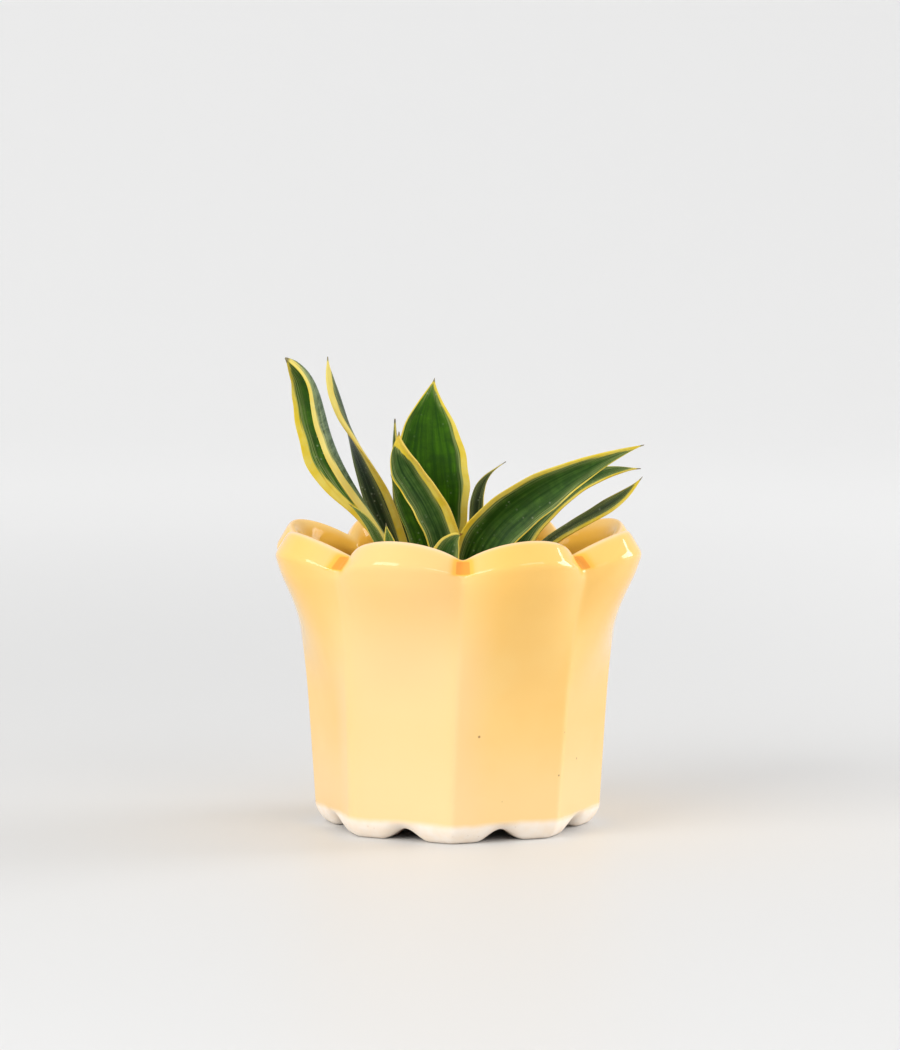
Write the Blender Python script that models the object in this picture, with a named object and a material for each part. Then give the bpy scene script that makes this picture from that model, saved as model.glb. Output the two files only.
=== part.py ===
"""A small snake plant in a scalloped eight-sided ceramic pot.

The origin is on the pot's axis at the surface that it stands on, +Z is up and -Y is the front.
The pot, the soil and every leaf are separate solids. Each leaf stands in a socket in the soil.
"""

import math

import bpy
import numpy as np
from mathutils import Vector

# Pot, in metres.
PANELS = 8
POT_HEIGHT = 0.0855         # to the top of a rim lobe
BODY_RADIUS = 0.0410        # at a body corner, just above the foot
SHOULDER_RADIUS = 0.0483    # at a body corner, just under the lip
RIM_RADIUS = 0.0540         # outermost point of a rim lobe
NOTCH_RADIUS = 0.0468       # to the lip between two lobes, plus half its width at its top
LIP_WIDTH = 0.0080          # across the rounded lip
LIP_DEPTH = 0.0085          # from a lobe's top down to its widest point
UNDER_LIP = 0.0040          # from a lobe's widest point down to where the flaring panels end
NOTCH_DROP = 0.0062         # from a lobe's top down to the top of the lip between two lobes
NOTCH_FLATTENING = 0.55     # depth of the lip between two lobes, as a share of LIP_DEPTH
PANEL_BULGE = 0.0078        # how far a panel's middle stands out of its flat, under the lip
FLARE_START = 0.50          # share of the wall's height where the panels begin to bulge
WALL = 0.0045
FLOOR = 0.0050
FOOT_HEIGHT = 0.0062        # height of the foot band
FOOT_INSET = 0.0034         # how far the foot draws in below the body
FOOT_WIDTH = 0.0060         # width of the ring that it stands on
FOOT_RECESS = 0.0048        # depth of the hollow under the floor
CUTOUT_HEIGHT = 0.0035      # of the wave cut under the middle of each panel
CUTOUT_SPAN = 0.52          # share of the panel's width that the wave takes
DRAIN_RADIUS = 0.0050
TWIST_FOOT = math.radians(-2.4)
TWIST_RIM = math.radians(2.2)

# Soil and planting.
SOIL_DROP = 0.0205          # from a rim lobe's top down to the soil at the wall
SOIL_MOUND = 0.0020         # how much higher it is in the middle
SOIL_TOP_ROUND = 0.0008     # how far the soil draws in at its top edge
PLANTING_DEPTH = 0.0050     # how deep the leaves stand in the soil
CLEARANCE = 0.0003          # between the soil and the leaves, and under the soil
SOIL_GAP = 0.0006           # between the soil and the wall, which dry soil draws back from

SOIL_LEVEL = POT_HEIGHT - SOIL_DROP

# Leaf section.
LEAF_THICKNESS = 0.0014     # along the midrib
MARGIN_THICKNESS = 0.0006
TIP_SHARE = 0.03            # width left at the very tip

# Mesh fineness.
PANEL_STEPS = 6
WALL_STEPS = 8
SOIL_STEPS = 10
ABOVE_SOIL_STEPS = 3
LIP_STEPS = 8
LEAF_STATIONS = 14
HALF_WIDTH_STEPS = 2

MM = 0.001


def material(name, color, roughness):
    made = bpy.data.materials.new(name)
    made.use_nodes = True
    shader = made.node_tree.nodes["Principled BSDF"]
    shader.inputs["Base Color"].default_value = (*color, 1.0)
    shader.inputs["Roughness"].default_value = roughness
    shader.inputs["Metallic"].default_value = 0.0
    return made


def mesh_object(name, points, faces, surface):
    mesh = bpy.data.meshes.new(name)
    mesh.from_pydata([tuple(point) for point in points], [], faces)
    mesh.shade_smooth()
    mesh.set_sharp_from_angle(angle=math.radians(50))
    mesh.materials.append(surface)
    made = bpy.data.objects.new(name, mesh)
    bpy.context.collection.objects.link(made)
    return made


def ring_faces(rings, count, closed):
    """Quads between rings of count points. When closed, the last ring joins the first."""
    last = rings if closed else rings - 1
    faces = []
    for ring in range(last):
        above = (ring + 1) % rings
        for step in range(count):
            beside = (step + 1) % count
            faces.append((ring * count + step, ring * count + beside,
                          above * count + beside, above * count + step))
    return faces


# ---------------------------------------------------------------- pot

def turned(points, height):
    """Turns a ring about the axis, from the foot's twist to the rim's."""
    angle = TWIST_FOOT + (TWIST_RIM - TWIST_FOOT) * height / POT_HEIGHT
    return points @ np.array([[math.cos(angle), math.sin(angle)], [-math.sin(angle), math.cos(angle)]])


def pot_ring(corner, middle, corner_height, middle_height, wave=0.0):
    """One ring of the pot: on each panel an arc through its two corners and its middle.

    corner and middle are radii. The height runs from the corners' to the middles', and wave lifts
    the middle of each panel as a raised cosine.
    """
    half = math.pi / PANELS
    reach = corner * math.sin(half)
    flat = corner * math.cos(half)
    bend = 2 * math.atan2(middle - flat, reach)
    share = np.arange(-PANEL_STEPS, PANEL_STEPS, 2) / PANEL_STEPS
    if abs(bend) < 1e-6:
        along = reach * share
        out = np.full(len(share), flat)
    else:
        along = reach * np.sin(bend * share) / math.sin(bend)
        out = flat + reach * (np.cos(bend * share) - math.cos(bend)) / math.sin(bend)
    lift = np.where(np.abs(share) < CUTOUT_SPAN, 0.5 + 0.5 * np.cos(np.pi * share / CUTOUT_SPAN), 0.0)
    height = corner_height + (middle_height - corner_height) * (1 - share**2) + wave * lift
    ring = []
    for panel in range(PANELS):
        angle = (2 * panel + 1) * half - math.pi / 2
        outward = np.array([math.cos(angle), math.sin(angle)])
        beside = np.array([-math.sin(angle), math.cos(angle)])
        flat_points = turned(np.outer(out, outward) + np.outer(along, beside), corner_height)
        ring.append(np.column_stack([flat_points, height]))
    return np.vstack(ring)


LIP_BOTTOM = POT_HEIGHT - LIP_DEPTH - UNDER_LIP
FLOOR_TOP = FOOT_RECESS + FLOOR


def soil_heights():
    """Heights of the rings that the soil and the wall around it share."""
    return np.linspace(FLOOR_TOP, SOIL_LEVEL, SOIL_STEPS + 1)


def wall_radii(height):
    """Corner and middle radius of the body's outside at a height above the foot band."""
    share = (height - FOOT_HEIGHT) / (LIP_BOTTOM - FOOT_HEIGHT)
    corner = BODY_RADIUS + (SHOULDER_RADIUS - BODY_RADIUS) * (0.56 * share + 0.44 * share**5)
    swell = max(0.0, (share - FLARE_START) / (1 - FLARE_START)) ** 1.4
    return corner, corner * math.cos(math.pi / PANELS) + PANEL_BULGE * swell


def inner_ring(height, inset=0.0):
    """The inside of the wall at a height, or a ring that stands clear of it by inset."""
    corner, middle = wall_radii(max(height, FOOT_HEIGHT))
    return pot_ring(corner - WALL - inset, middle - WALL - inset, height, height)


def lip_ring(angle):
    """One ring of the rounded lip: angle 0 is its outermost line, 90 its top and 180 its innermost.

    Between two lobes it starts flush with the shoulder and draws in towards its top.
    """
    half_width = LIP_WIDTH / 2
    drop = NOTCH_DROP * (1 - 0.25 * math.cos(angle))
    out = half_width * (math.cos(angle) - 1)
    up = LIP_DEPTH * (math.sin(angle) - 1)
    notch_up = up * NOTCH_FLATTENING
    notch = NOTCH_RADIUS + (SHOULDER_RADIUS - NOTCH_RADIUS) * max(0.0, math.cos(angle))
    return pot_ring(notch + out, RIM_RADIUS + out,
                    POT_HEIGHT - drop + notch_up, POT_HEIGHT + up)


def pot():
    """One closed skin: up the outside, over the lip, down the inside, through the drain hole and
    back along the underside to the foot."""
    rings = []
    for share in (0.0, 0.2, 0.55):
        height = FOOT_HEIGHT * share
        corner = BODY_RADIUS - FOOT_INSET * (1 - share) ** 2
        rings.append(pot_ring(corner, corner * math.cos(math.pi / PANELS), height, height,
                              CUTOUT_HEIGHT * (1 - share)))
    for share in np.linspace(0, 1, WALL_STEPS + 1):
        height = FOOT_HEIGHT + (LIP_BOTTOM - FOOT_HEIGHT) * share
        corner, middle = wall_radii(height)
        rings.append(pot_ring(corner, middle, height, height))
    for step in range(LIP_STEPS + 1):
        rings.append(lip_ring(math.pi * step / LIP_STEPS))
    above_soil = np.linspace(LIP_BOTTOM, SOIL_LEVEL, ABOVE_SOIL_STEPS + 1)
    for height in [*above_soil[:-1], *soil_heights()[::-1]]:
        rings.append(inner_ring(height))
    for height in (FLOOR_TOP, FOOT_RECESS):
        rings.append(pot_ring(DRAIN_RADIUS, DRAIN_RADIUS, height, height))
    inner = BODY_RADIUS - FOOT_INSET - FOOT_WIDTH
    flat = math.cos(math.pi / PANELS)
    rings.append(pot_ring(inner, inner * flat, FOOT_RECESS, FOOT_RECESS))
    rings.append(pot_ring(inner, inner * flat, 0.0, 0.0, CUTOUT_HEIGHT))
    faces = ring_faces(len(rings), PANELS * PANEL_STEPS, closed=True)
    return mesh_object("pot", np.vstack(rings), faces, material("pot_glaze", (0.98, 0.66, 0.28), 0.12))


# ---------------------------------------------------------------- leaves

# Each row holds: the name, where the leaf's foot stands in the soil (x, y), the other control points of
# its midrib's Bezier curve (x, y, height above the soil), the half width, the outline, the turns and
# the fold, in millimetres and degrees. The outline is the share of the width left at the foot, how
# slowly the leaf widens above it, where along its length it is widest, and how sharply it runs to the
# point. The turns are of the blade about its midrib from facing the front, at the foot and at the
# tip. The fold is how deep the channel is, as a share of the half width.
LEAVES = (
    ("leaf_left_outer", (-10, -10),
     ((-24.5, -7.5, 35.5), (-46.5, -7, 37), (-31, -5.5, 60.5), (-48, -16.5, 68.5)),
     7, (0.2, 3, 0.52, 0.72), (66, 61), 0.87),
    ("leaf_left_inner", (-11.5, 6), ((-20, 5.5, 25), (-29.5, 5.5, 45.5), (-37, 7.5, 56.5), (-37, 9, 67.5)),
     4.5, (0.49, 1, 0.48, 1.5), (-8, 142), 0.17),
    ("leaf_back_needle", (-12, 24), ((-14, 23, 12), (-18, 22, 33), (-18, 20, 49)),
     2.5, (0.7, 1, 0.45, 1.5), (20, 50), 0.3),
    ("leaf_centre_left", (-2.5, -8.5), ((1, -8.5, 19), (-7, -7.5, 31), (-16.5, -6.5, 36), (-16.5, -4, 47)),
     5, (1, 1, 0.72, 1.5), (7, 35), 0.57),
    ("leaf_front_left", (-6, -3.5), ((-7.5, -3.5, 17), (-16.5, -3.5, 31), (-19, -4, 35)),
     3.5, (0.7, 1, 0.47, 1.5), (-6, -3), 0.26),
    ("leaf_centre_tall", (0.5, 7), ((-6.5, 7, 12.5), (-5, 7, 27.5), (-10.5, 8, 43.5), (-6.5, 9, 61.5)),
     10.5, (0.18, 1, 0.62, 1.36), (20, -7), 0.17),
    ("leaf_back_small", (4.5, 19), ((6.5, 19.5, 16), (4, 20, 28.5), (5, 21, 31), (14, 22, 36.5)),
     2, (0.6, 1, 0.5, 2.57), (0, -19), 0.28),
    ("leaf_right_large", (4, -17),
     ((1, -18.5, 17), (10.5, -21.5, 26.5), (34, -24.5, 40.5), (51.5, -26.5, 45)),
     7, (0.42, 1, 0.4, 1.5), (15, -20), 0.48),
    ("leaf_right_upper", (11, 0), ((15, -0.5, 16), (24.5, -2.5, 31), (39.5, -5.5, 36.5), (51.5, -8.5, 37)),
     4, (0.6, 1, 0.48, 1.5), (20, 33), 0.31),
    ("leaf_right_lower", (12, -8), ((18.5, -10, 20), (41.5, -15, 21.5), (51.5, -19, 35.5)),
     2, (0.78, 1, 0.75, 1.5), (53, 18), 0.45),
    ("leaf_front_clipped", (-5, -25.5), ((-5.5, -25, 9.5), (-3, -24.5, 19.5), (1.5, -23.5, 20)),
     4.5, (0.8, 1, 0.29, 1), (2, 12), 0.32),
    ("leaf_left_low", (-17, -17), ((-18.5, -16.5, 17.5), (-26.5, -15.5, 25), (-30.5, -14, 27.5)),
     1.5, (0.9, 1, 0.4, 1.5), (-1, -4), 0.3),
    ("leaf_left_sprout", (-13.5, -20), ((-16, -20, 8), (-19.5, -20, 17.5), (-20, -19, 22.5)),
     2.5, (0.9, 1, 0.4, 1.5), (-1, -1), 0.3),
)


def smooth(share):
    return share * share * (3 - 2 * share)


def leaf_half_width(share, foot_share, rise_power, widest_at, point_power):
    """Width along the leaf as a share of its widest: a rising sine, then a curve to the point."""
    if share < widest_at:
        return foot_share + (1 - foot_share) * math.sin(math.pi / 2 * share / widest_at) ** rise_power
    rest = (share - widest_at) / (1 - widest_at)
    return TIP_SHARE + (1 - TIP_SHARE) * (1 - rest**2) ** point_power


def bezier(points, share):
    """The point and the direction of a Bezier curve, by halving in from its control points."""
    while len(points) > 2:
        points = [start.lerp(end, share) for start, end in zip(points, points[1:])]
    return points[0].lerp(points[1], share), (points[1] - points[0]).normalized()


def leaf_rings(midrib, half_width, profile, turn_foot, turn_tip, fold, grow):
    """Closed rings along a leaf. grow makes the leaf larger all round, for its socket."""
    controls = [Vector(point) * MM + Vector((0, 0, SOIL_LEVEL)) for point in midrib]
    rings = []
    for station in range(LEAF_STATIONS + 1):
        share = station / LEAF_STATIONS
        centre, along = bezier(controls, share)
        if station == 0:
            centre -= along * grow
        level = along.cross(Vector((0, -1, 0))).normalized()
        facing = level.cross(along)
        turn = math.radians(turn_foot + (turn_tip - turn_foot) * smooth(share))
        across = level * math.cos(turn) + facing * math.sin(turn)
        upward = facing * math.cos(turn) - level * math.sin(turn)
        breadth = leaf_half_width(share, *profile)
        width = half_width * MM * breadth + grow
        slim = min(1.0, 0.35 + 2.2 * breadth)
        upper = []
        lower = []
        for step in range(-HALF_WIDTH_STEPS, HALF_WIDTH_STEPS + 1):
            side = step / HALF_WIDTH_STEPS
            on_blade = centre + across * (width * side) + upward * (width * fold * side**2)
            thick = MARGIN_THICKNESS + (LEAF_THICKNESS - MARGIN_THICKNESS) * (1 - side**2)
            slope = math.hypot(1, 2 * fold * side)
            half_thick = upward * (slope * (thick * slim / 2 + grow))
            upper.append(on_blade + half_thick)
            lower.append(on_blade - half_thick)
        rings.append(upper + lower[::-1])
    return rings


def leaf(row, surface, grow=0.0):
    name, place, controls, half_width, profile, turns, fold = row
    foot = (*place, -PLANTING_DEPTH / MM)
    rings = leaf_rings((foot, *controls), half_width, profile, *turns, fold, grow)
    count = len(rings[0])
    points = [point for ring in rings for point in ring]
    faces = ring_faces(len(rings), count, closed=False)
    faces.append(tuple(range(count))[::-1])
    faces.append(tuple(range(len(points) - count, len(points))))
    return mesh_object(name, points, faces, surface)


# ---------------------------------------------------------------- soil

def soil(cutters):
    """Fills the pot to SOIL_LEVEL, clear of its wall and floor, with a socket for each leaf."""
    heights = soil_heights()
    bottom = heights[0] + CLEARANCE
    heights[0] = bottom
    heights[-1] -= SOIL_TOP_ROUND
    rings = [inner_ring(height, SOIL_GAP) for height in heights]
    top = inner_ring(SOIL_LEVEL, SOIL_GAP + SOIL_TOP_ROUND)
    rings.append(top)
    for share in (0.7, 0.35):
        ring = top * np.array([share, share, 1.0])
        ring[:, 2] += SOIL_MOUND * (1 - share**2)
        rings.append(ring)
    count = PANELS * PANEL_STEPS
    faces = ring_faces(len(rings), count, closed=False)
    points = np.vstack([*rings, [[0, 0, bottom], [0, 0, SOIL_LEVEL + SOIL_MOUND]]])
    low, high = len(points) - 2, len(points) - 1
    last = (len(rings) - 1) * count
    for step in range(count):
        beside = (step + 1) % count
        faces.append((low, beside, step))
        faces.append((high, last + step, last + beside))
    made = mesh_object("soil", points, faces, material("potting_soil", (0.09, 0.055, 0.035), 0.95))
    for cutter in cutters:
        cutter.hide_render = True
        cutter.display_type = "WIRE"
        cut = made.modifiers.new(cutter.name, "BOOLEAN")
        cut.operation = "DIFFERENCE"
        cut.solver = "EXACT"
        cut.object = cutter
    return made


def build():
    for old in list(bpy.data.objects):
        bpy.data.objects.remove(old)
    pot()
    sockets = []
    for row in LEAVES:
        green = material(row[0] + "_green", (0.035, 0.12, 0.03), 0.35)
        leaf(row, green)
        sockets.append(leaf(("socket_" + row[0], *row[1:]), green, grow=CLEARANCE))
    soil(sockets)


build()
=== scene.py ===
# %% [markdown]
# # A young snake plant in a scalloped pot
#
# The real object is a small plant with yellow-edged leaves in a glazed pot whose rim has eight
# lobes. The CAD model gives the sizes and stays as it is. This lesson builds the fine surfaces
# that are seen in its place, one piece at a time, and gives each piece its finish.

import math

import bpy
import numpy as np
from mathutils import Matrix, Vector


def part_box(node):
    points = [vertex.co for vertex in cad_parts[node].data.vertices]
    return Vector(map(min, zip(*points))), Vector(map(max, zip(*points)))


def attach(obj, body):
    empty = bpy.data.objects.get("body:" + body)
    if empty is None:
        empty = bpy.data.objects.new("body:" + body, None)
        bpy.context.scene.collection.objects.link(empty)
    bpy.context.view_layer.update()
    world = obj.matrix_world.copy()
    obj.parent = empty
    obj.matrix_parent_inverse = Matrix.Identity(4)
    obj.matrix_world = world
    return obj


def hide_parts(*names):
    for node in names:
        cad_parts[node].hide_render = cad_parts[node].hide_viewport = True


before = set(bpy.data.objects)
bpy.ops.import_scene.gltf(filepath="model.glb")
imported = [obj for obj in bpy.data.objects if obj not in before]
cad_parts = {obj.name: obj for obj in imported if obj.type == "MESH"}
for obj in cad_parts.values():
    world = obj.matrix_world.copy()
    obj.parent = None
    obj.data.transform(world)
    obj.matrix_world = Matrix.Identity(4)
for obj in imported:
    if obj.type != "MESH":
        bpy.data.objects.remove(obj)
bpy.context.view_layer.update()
print("CAD nodes:", sorted(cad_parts))

# %% [markdown]
# ## Sizes
#
# The pot and the soil repeat the CAD's own rules with finer steps, so they need its dimensions.
# The heights are taken from the frame, so that the fine pieces stay where the CAD puts them.
# All lengths are in metres, and MM turns millimetres into them.

# %% Dimensions of the pot and the soil
MM = 0.001
PANELS = 8
POT_HEIGHT = float(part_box("pot")[1][2])
BODY_RADIUS = 0.0410                # to a corner, just above the foot
SHOULDER_RADIUS = 0.0483            # to a corner, just under the lip
RIM_RADIUS = 0.0540                 # to the middle of a lobe
NOTCH_RADIUS = 0.0468               # to the notch between two lobes
LIP_DEPTH = 0.0085
UNDER_LIP = 0.0040
PANEL_BULGE = 0.0078                # how far a panel's middle swells out under the lip
FLARE_START = 0.50                  # where the swelling starts, as a share of the wall
SWELL_POWER = 1.4
TAPER_SHARE = 0.56                  # the share of the wall's widening that is a straight taper
FLARE_SHARE = 0.44                  # the share that follows the power of the height below
FLARE_POWER = 5
WALL = 0.0045
FLOOR = 0.0050
FOOT_HEIGHT = 0.0062
FOOT_INSET = 0.0034
FOOT_WIDTH = 0.0060
FOOT_RECESS = 0.0048
CUTOUT_HEIGHT = 0.0035
CUTOUT_SPAN = 0.52                  # half its width, as a share of half a panel
DRAIN_RADIUS = 0.0050
TWIST_FOOT = math.radians(-2.4)
TWIST_RIM = math.radians(2.2)
SOIL_MOUND = 0.0020
SOIL_LEVEL = float(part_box("soil")[1][2]) - SOIL_MOUND
LIP_BOTTOM = POT_HEIGHT - LIP_DEPTH - UNDER_LIP
FLOOR_TOP = FOOT_RECESS + FLOOR
print(f"pot {POT_HEIGHT / MM:.1f} mm tall, soil at {SOIL_LEVEL / MM:.1f} mm")

# %% [markdown]
# ## From a grid of points to a mesh
#
# The pot, the leaves, the soil and the backdrop are functions of two parameters, worked out for a
# whole grid at once: rows run along the piece and columns run round it. Blender could spin or loft
# such shapes with modifiers, but a grid keeps the exact rule of the surface, and numbers that
# follow its rows and columns can be stored on the points for the materials to use.

# %% Grid helpers
def grid_faces(rows, columns, wrap_rows=False):
    """Quads between neighbouring points of a grid whose columns go all the way round."""
    last = rows if wrap_rows else rows - 1
    row = np.arange(last)[:, None]
    column = np.arange(columns)[None, :]
    here, above = row * columns, (row + 1) % rows * columns
    beside = (column + 1) % columns
    quads = np.stack([here + column, here + beside, above + beside, above + column], axis=-1)
    return quads.reshape(-1, 4).tolist()


def fan_faces(ring_start, columns, centre, outward):
    """Triangles from a ring of points to one centre point."""
    here = np.arange(columns)
    beside = (here + 1) % columns
    pair = (here, beside) if outward else (beside, here)
    tips = np.full(columns, centre)
    return np.stack([ring_start + pair[0], ring_start + pair[1], tips], axis=-1).tolist()


def make_mesh(name, points, faces, marks=None):
    """A smooth mesh object at the origin. marks are numbers stored on its points by name."""
    mesh = bpy.data.meshes.new(name)
    mesh.from_pydata(np.asarray(points).reshape(-1, 3).tolist(), [], faces)
    mesh.shade_smooth()
    for mark, values in (marks or {}).items():
        layer = mesh.attributes.new(mark, "FLOAT", "POINT")
        layer.data.foreach_set("value", np.asarray(values, dtype=np.float32).ravel())
    piece = bpy.data.objects.new(name, mesh)
    bpy.context.collection.objects.link(piece)
    return piece


def place(piece, slot, surface, *nodes):
    """Gives a piece its finish, lets it ride on the body, and hides the CAD nodes it replaces."""
    piece.data.materials.append(surface)
    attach(piece, "root")
    if nodes:
        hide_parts(*nodes)
    print(f"{piece.name}: {len(piece.data.polygons)} faces")


def smoothstep(value, low=0.0, high=1.0):
    """Rises from 0 at low to 1 at high with level ends."""
    share = np.clip((value - low) / (high - low), 0.0, 1.0)
    return share * share * (3 - 2 * share)


def soften(values, spread, wrap, axis=0):
    """Averages each value with its neighbours along an axis, with bell-shaped weights."""
    reach = int(math.ceil(3 * spread))
    total = np.zeros_like(values)
    weights = 0.0
    for step in range(-reach, reach + 1):
        weight = math.exp(-0.5 * (step / spread) ** 2)
        if wrap:
            moved = np.roll(values, step, axis=axis)
        else:
            count = values.shape[axis]
            moved = np.take(values, np.clip(np.arange(count) - step, 0, count - 1), axis=axis)
        total = total + weight * moved
        weights += weight
    return total / weights


# %% [markdown]
# ## Materials as sums
#
# A material's pattern is arithmetic on sockets. The small class below wraps an output socket, so
# that `a * b + 0.2` adds the Math nodes by itself. Colours go through Mix nodes, because a Math
# node would turn them grey. All other nodes come from one method of the recipe.

# %% Wire and Recipe
class Wire:
    """An output socket that arithmetic works on: each operator adds a Math node."""

    def __init__(self, recipe, socket):
        self.recipe = recipe
        self.socket = socket

    def math(self, operation, *values):
        return self.recipe.node("Math", {"operation": operation}, dict(enumerate(values)))

    def __add__(self, other):
        return self.math("ADD", self, other)

    def __radd__(self, other):
        return self.math("ADD", other, self)

    def __sub__(self, other):
        return self.math("SUBTRACT", self, other)

    def __rsub__(self, other):
        return self.math("SUBTRACT", other, self)

    def __mul__(self, other):
        return self.math("MULTIPLY", self, other)

    def __rmul__(self, other):
        return self.math("MULTIPLY", other, self)

    def smooth(self, low, high):
        """Rises from 0 at low to 1 at high. With low above high it falls instead."""
        if low > high:
            return 1 - self.smooth(high, low)
        settings = {"interpolation_type": "SMOOTHSTEP"}
        sockets = {"Value": self, "From Min": low, "From Max": high}
        return self.recipe.node("MapRange", settings, sockets)


class Recipe:
    """A material that is being put together."""

    def __init__(self, name):
        self.material = bpy.data.materials.new(name)
        self.material.use_nodes = True
        self.tree = self.material.node_tree
        self.shader = self.tree.nodes["Principled BSDF"]

    def node(self, kind, settings=None, sockets=None, output=0):
        """Adds a node: its settings first, then a value or a link for each named socket."""
        made = self.tree.nodes.new("ShaderNode" + kind)
        for setting, value in (settings or {}).items():
            setattr(made, setting, value)
        for key, value in (sockets or {}).items():
            if isinstance(value, Wire):
                self.tree.links.new(value.socket, made.inputs[key])
            else:
                made.inputs[key].default_value = value
        return Wire(self, made.outputs[output])

    def mark(self, name):
        """A number stored on the piece's points."""
        return self.node("Attribute", {"attribute_name": name}, output="Fac")

    def position(self):
        """Object coordinates, in metres."""
        return self.node("TexCoord", output="Object")

    def height(self):
        return self.node("SeparateXYZ", sockets={0: self.position()}, output=2)

    def vector(self, x, y, z):
        return self.node("CombineXYZ", sockets={0: x, 1: y, 2: z})

    def vector_math(self, operation, *values, output=0):
        return self.node("VectorMath", {"operation": operation}, dict(enumerate(values)), output)

    def noise(self, where, scale, detail=2.0, roughness=0.5):
        sockets = {"Vector": where, "Scale": scale, "Detail": detail, "Roughness": roughness}
        return self.node("TexNoise", sockets=sockets)

    def dots(self, where, scale, low, high):
        """1 at scattered points, falling to 0 between the distances low and high."""
        sockets = {"Vector": where, "Scale": scale}
        return self.node("TexVoronoi", sockets=sockets, output="Distance").smooth(high, low)

    def blend(self, share, first, second):
        """first where share is 0, second where it is 1. A colour is three numbers."""
        ends = [end if isinstance(end, Wire) else (*end, 1.0) for end in (first, second)]
        return self.node("Mix", {"data_type": "RGBA"}, {0: share, 6: ends[0], 7: ends[1]}, output=2)

    def bump(self, height, distance, strength=1.0, under=None):
        sockets = {"Height": height, "Distance": distance, "Strength": strength}
        if under is not None:
            sockets["Normal"] = under
        return self.node("Bump", sockets=sockets)

    def finish(self, **values):
        """Sets the shader's own sockets, with _ for each space in their names."""
        for key, value in values.items():
            target = self.shader.inputs[key.replace("_", " ")]
            if isinstance(value, Wire):
                self.tree.links.new(value.socket, target)
            else:
                target.default_value = value
        print(f"{self.material.name}: {len(self.tree.nodes)} nodes")
        return self.material


# %% [markdown]
# ## The pot's surface
#
# Such a pot is slip-cast: liquid clay in a plaster mould with eight panels, so its corners are
# soft and its foot is cut in waves. Level by level, each panel is an arc through its two corners
# and its middle. One closed skin runs up the outside, over the lip, down the inside, through the
# drain hole and back under the foot. The corners are softened afterwards by averaging round the
# pot, as the glaze does when it runs.

# %% Rings of the pot
PANEL_STEPS = 44            # columns on one panel
FOOT_ROWS = 16
WALL_ROWS = 60
LIP_ROWS = 66
INSIDE_ROWS = 16
HIDDEN_ROWS = 9             # inside, under the soil
CORNER_SPREAD = 1.3         # softening round the pot, in columns
ROW_SPREAD = 1.9            # softening up the pot, in rows
EDGE_ROUND = 0.9 * MM       # rounding of the foot's edges
# The lip's outline from the wall over the bead and the top edge to the inside, in millimetres from
# the rim's own radius and height: for the middle of a panel, then for its corners.
LIP_OUT = (-1.35, -0.55, -0.1, 0, -0.35, -1.2, -2.2, -3.1, -4.1, -5.4, -6.8, -7.7, -8.0)
LIP_UP = (-11.0, -9.0, -7.6, -6.6, -5.6, -4.2, -2.5, -1.0, -0.05, -0.7, -2.6, -5.3, -8.5)
NOTCH_OUT = (1.4, 1.3, 1.15, 0.95, 0.4, -0.6, -1.8, -2.9, -3.9, -5.2, -6.6, -7.6, -8.0)
NOTCH_UP = (-11.9, -11.1, -10.4, -9.9, -9.4, -8.6, -7.6, -6.7, -6.2, -6.5, -8.0, -10.2, -12.4)
BEAD, TOP_EDGE = 3, 8       # their places in these outlines
LEAST_BEND = 1e-5           # in radians, so that the arc of a flat panel can still be worked out
LIP_SHADE = 0.32             # how far painted shade turns the lip's outer face and the wall under it orange, where a full glaze pool is 1
INSIDE_POOL = 0.8
LIP_SHADE_FADE = 36 * MM         # the height over which the painted shade under the lip fades down the wall
INNER_FOOT_STEPS = (1.0, 0.7, 0.4, 0.2, 0.12, 0.05, 0.015, 0.0)    # as shares of the recess


def pot_rings(corner, middle, corner_height, middle_height, wave):
    """Points of many rings at once: each argument is one number for each ring.

    On each panel, share runs from -1 to 1 between the corners, the outline is the arc through the
    corners and the middle, and the height is a parabola from the corners to the middle. wave lifts
    the middle of the panel by a raised cosine.
    """
    half = math.pi / PANELS
    column = np.arange(PANELS * PANEL_STEPS)
    share = (column % PANEL_STEPS / PANEL_STEPS * 2 - 1)[None, :]
    outward = ((2 * (column // PANEL_STEPS) + 1) * half - math.pi / 2)[None, :]
    corner, middle, corner_height, middle_height, wave = (
        np.asarray(numbers, dtype=float)[:, None]
        for numbers in (corner, middle, corner_height, middle_height, wave)
    )
    reach, flat = corner * math.sin(half), corner * math.cos(half)
    bend = 2 * np.arctan2(middle - flat, reach)
    bend = np.where(np.abs(bend) < LEAST_BEND, LEAST_BEND, bend)
    along = reach * np.sin(bend * share) / np.sin(bend)
    out = flat + reach * (np.cos(bend * share) - np.cos(bend)) / np.sin(bend)
    hump = 0.5 + 0.5 * np.cos(np.pi * share / CUTOUT_SPAN)
    lift = np.where(np.abs(share) < CUTOUT_SPAN, hump, 0.0)
    height = corner_height + (middle_height - corner_height) * (1 - share**2) + wave * lift
    turn = outward + TWIST_FOOT + (TWIST_RIM - TWIST_FOOT) * corner_height / POT_HEIGHT
    x = out * np.cos(turn) - along * np.sin(turn)
    y = out * np.sin(turn) + along * np.cos(turn)
    return np.stack([x, y, height], axis=-1)


def wall_radii(height):
    """Corner and middle radius of the body at heights above the foot band."""
    share = (np.asarray(height, dtype=float) - FOOT_HEIGHT) / (LIP_BOTTOM - FOOT_HEIGHT)
    widening = TAPER_SHARE * share + FLARE_SHARE * share**FLARE_POWER
    corner = BODY_RADIUS + (SHOULDER_RADIUS - BODY_RADIUS) * widening
    swell = np.clip((share - FLARE_START) / (1 - FLARE_START), 0.0, None) ** SWELL_POWER
    return corner, corner * math.cos(math.pi / PANELS) + PANEL_BULGE * swell


def rounded(distance):
    """How far a rounded edge draws in, at a distance from the face that it rounds off to."""
    near = np.clip(1 - distance / EDGE_ROUND, 0.0, 1.0)
    return EDGE_ROUND * (1 - np.sqrt(1 - near**2))


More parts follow.
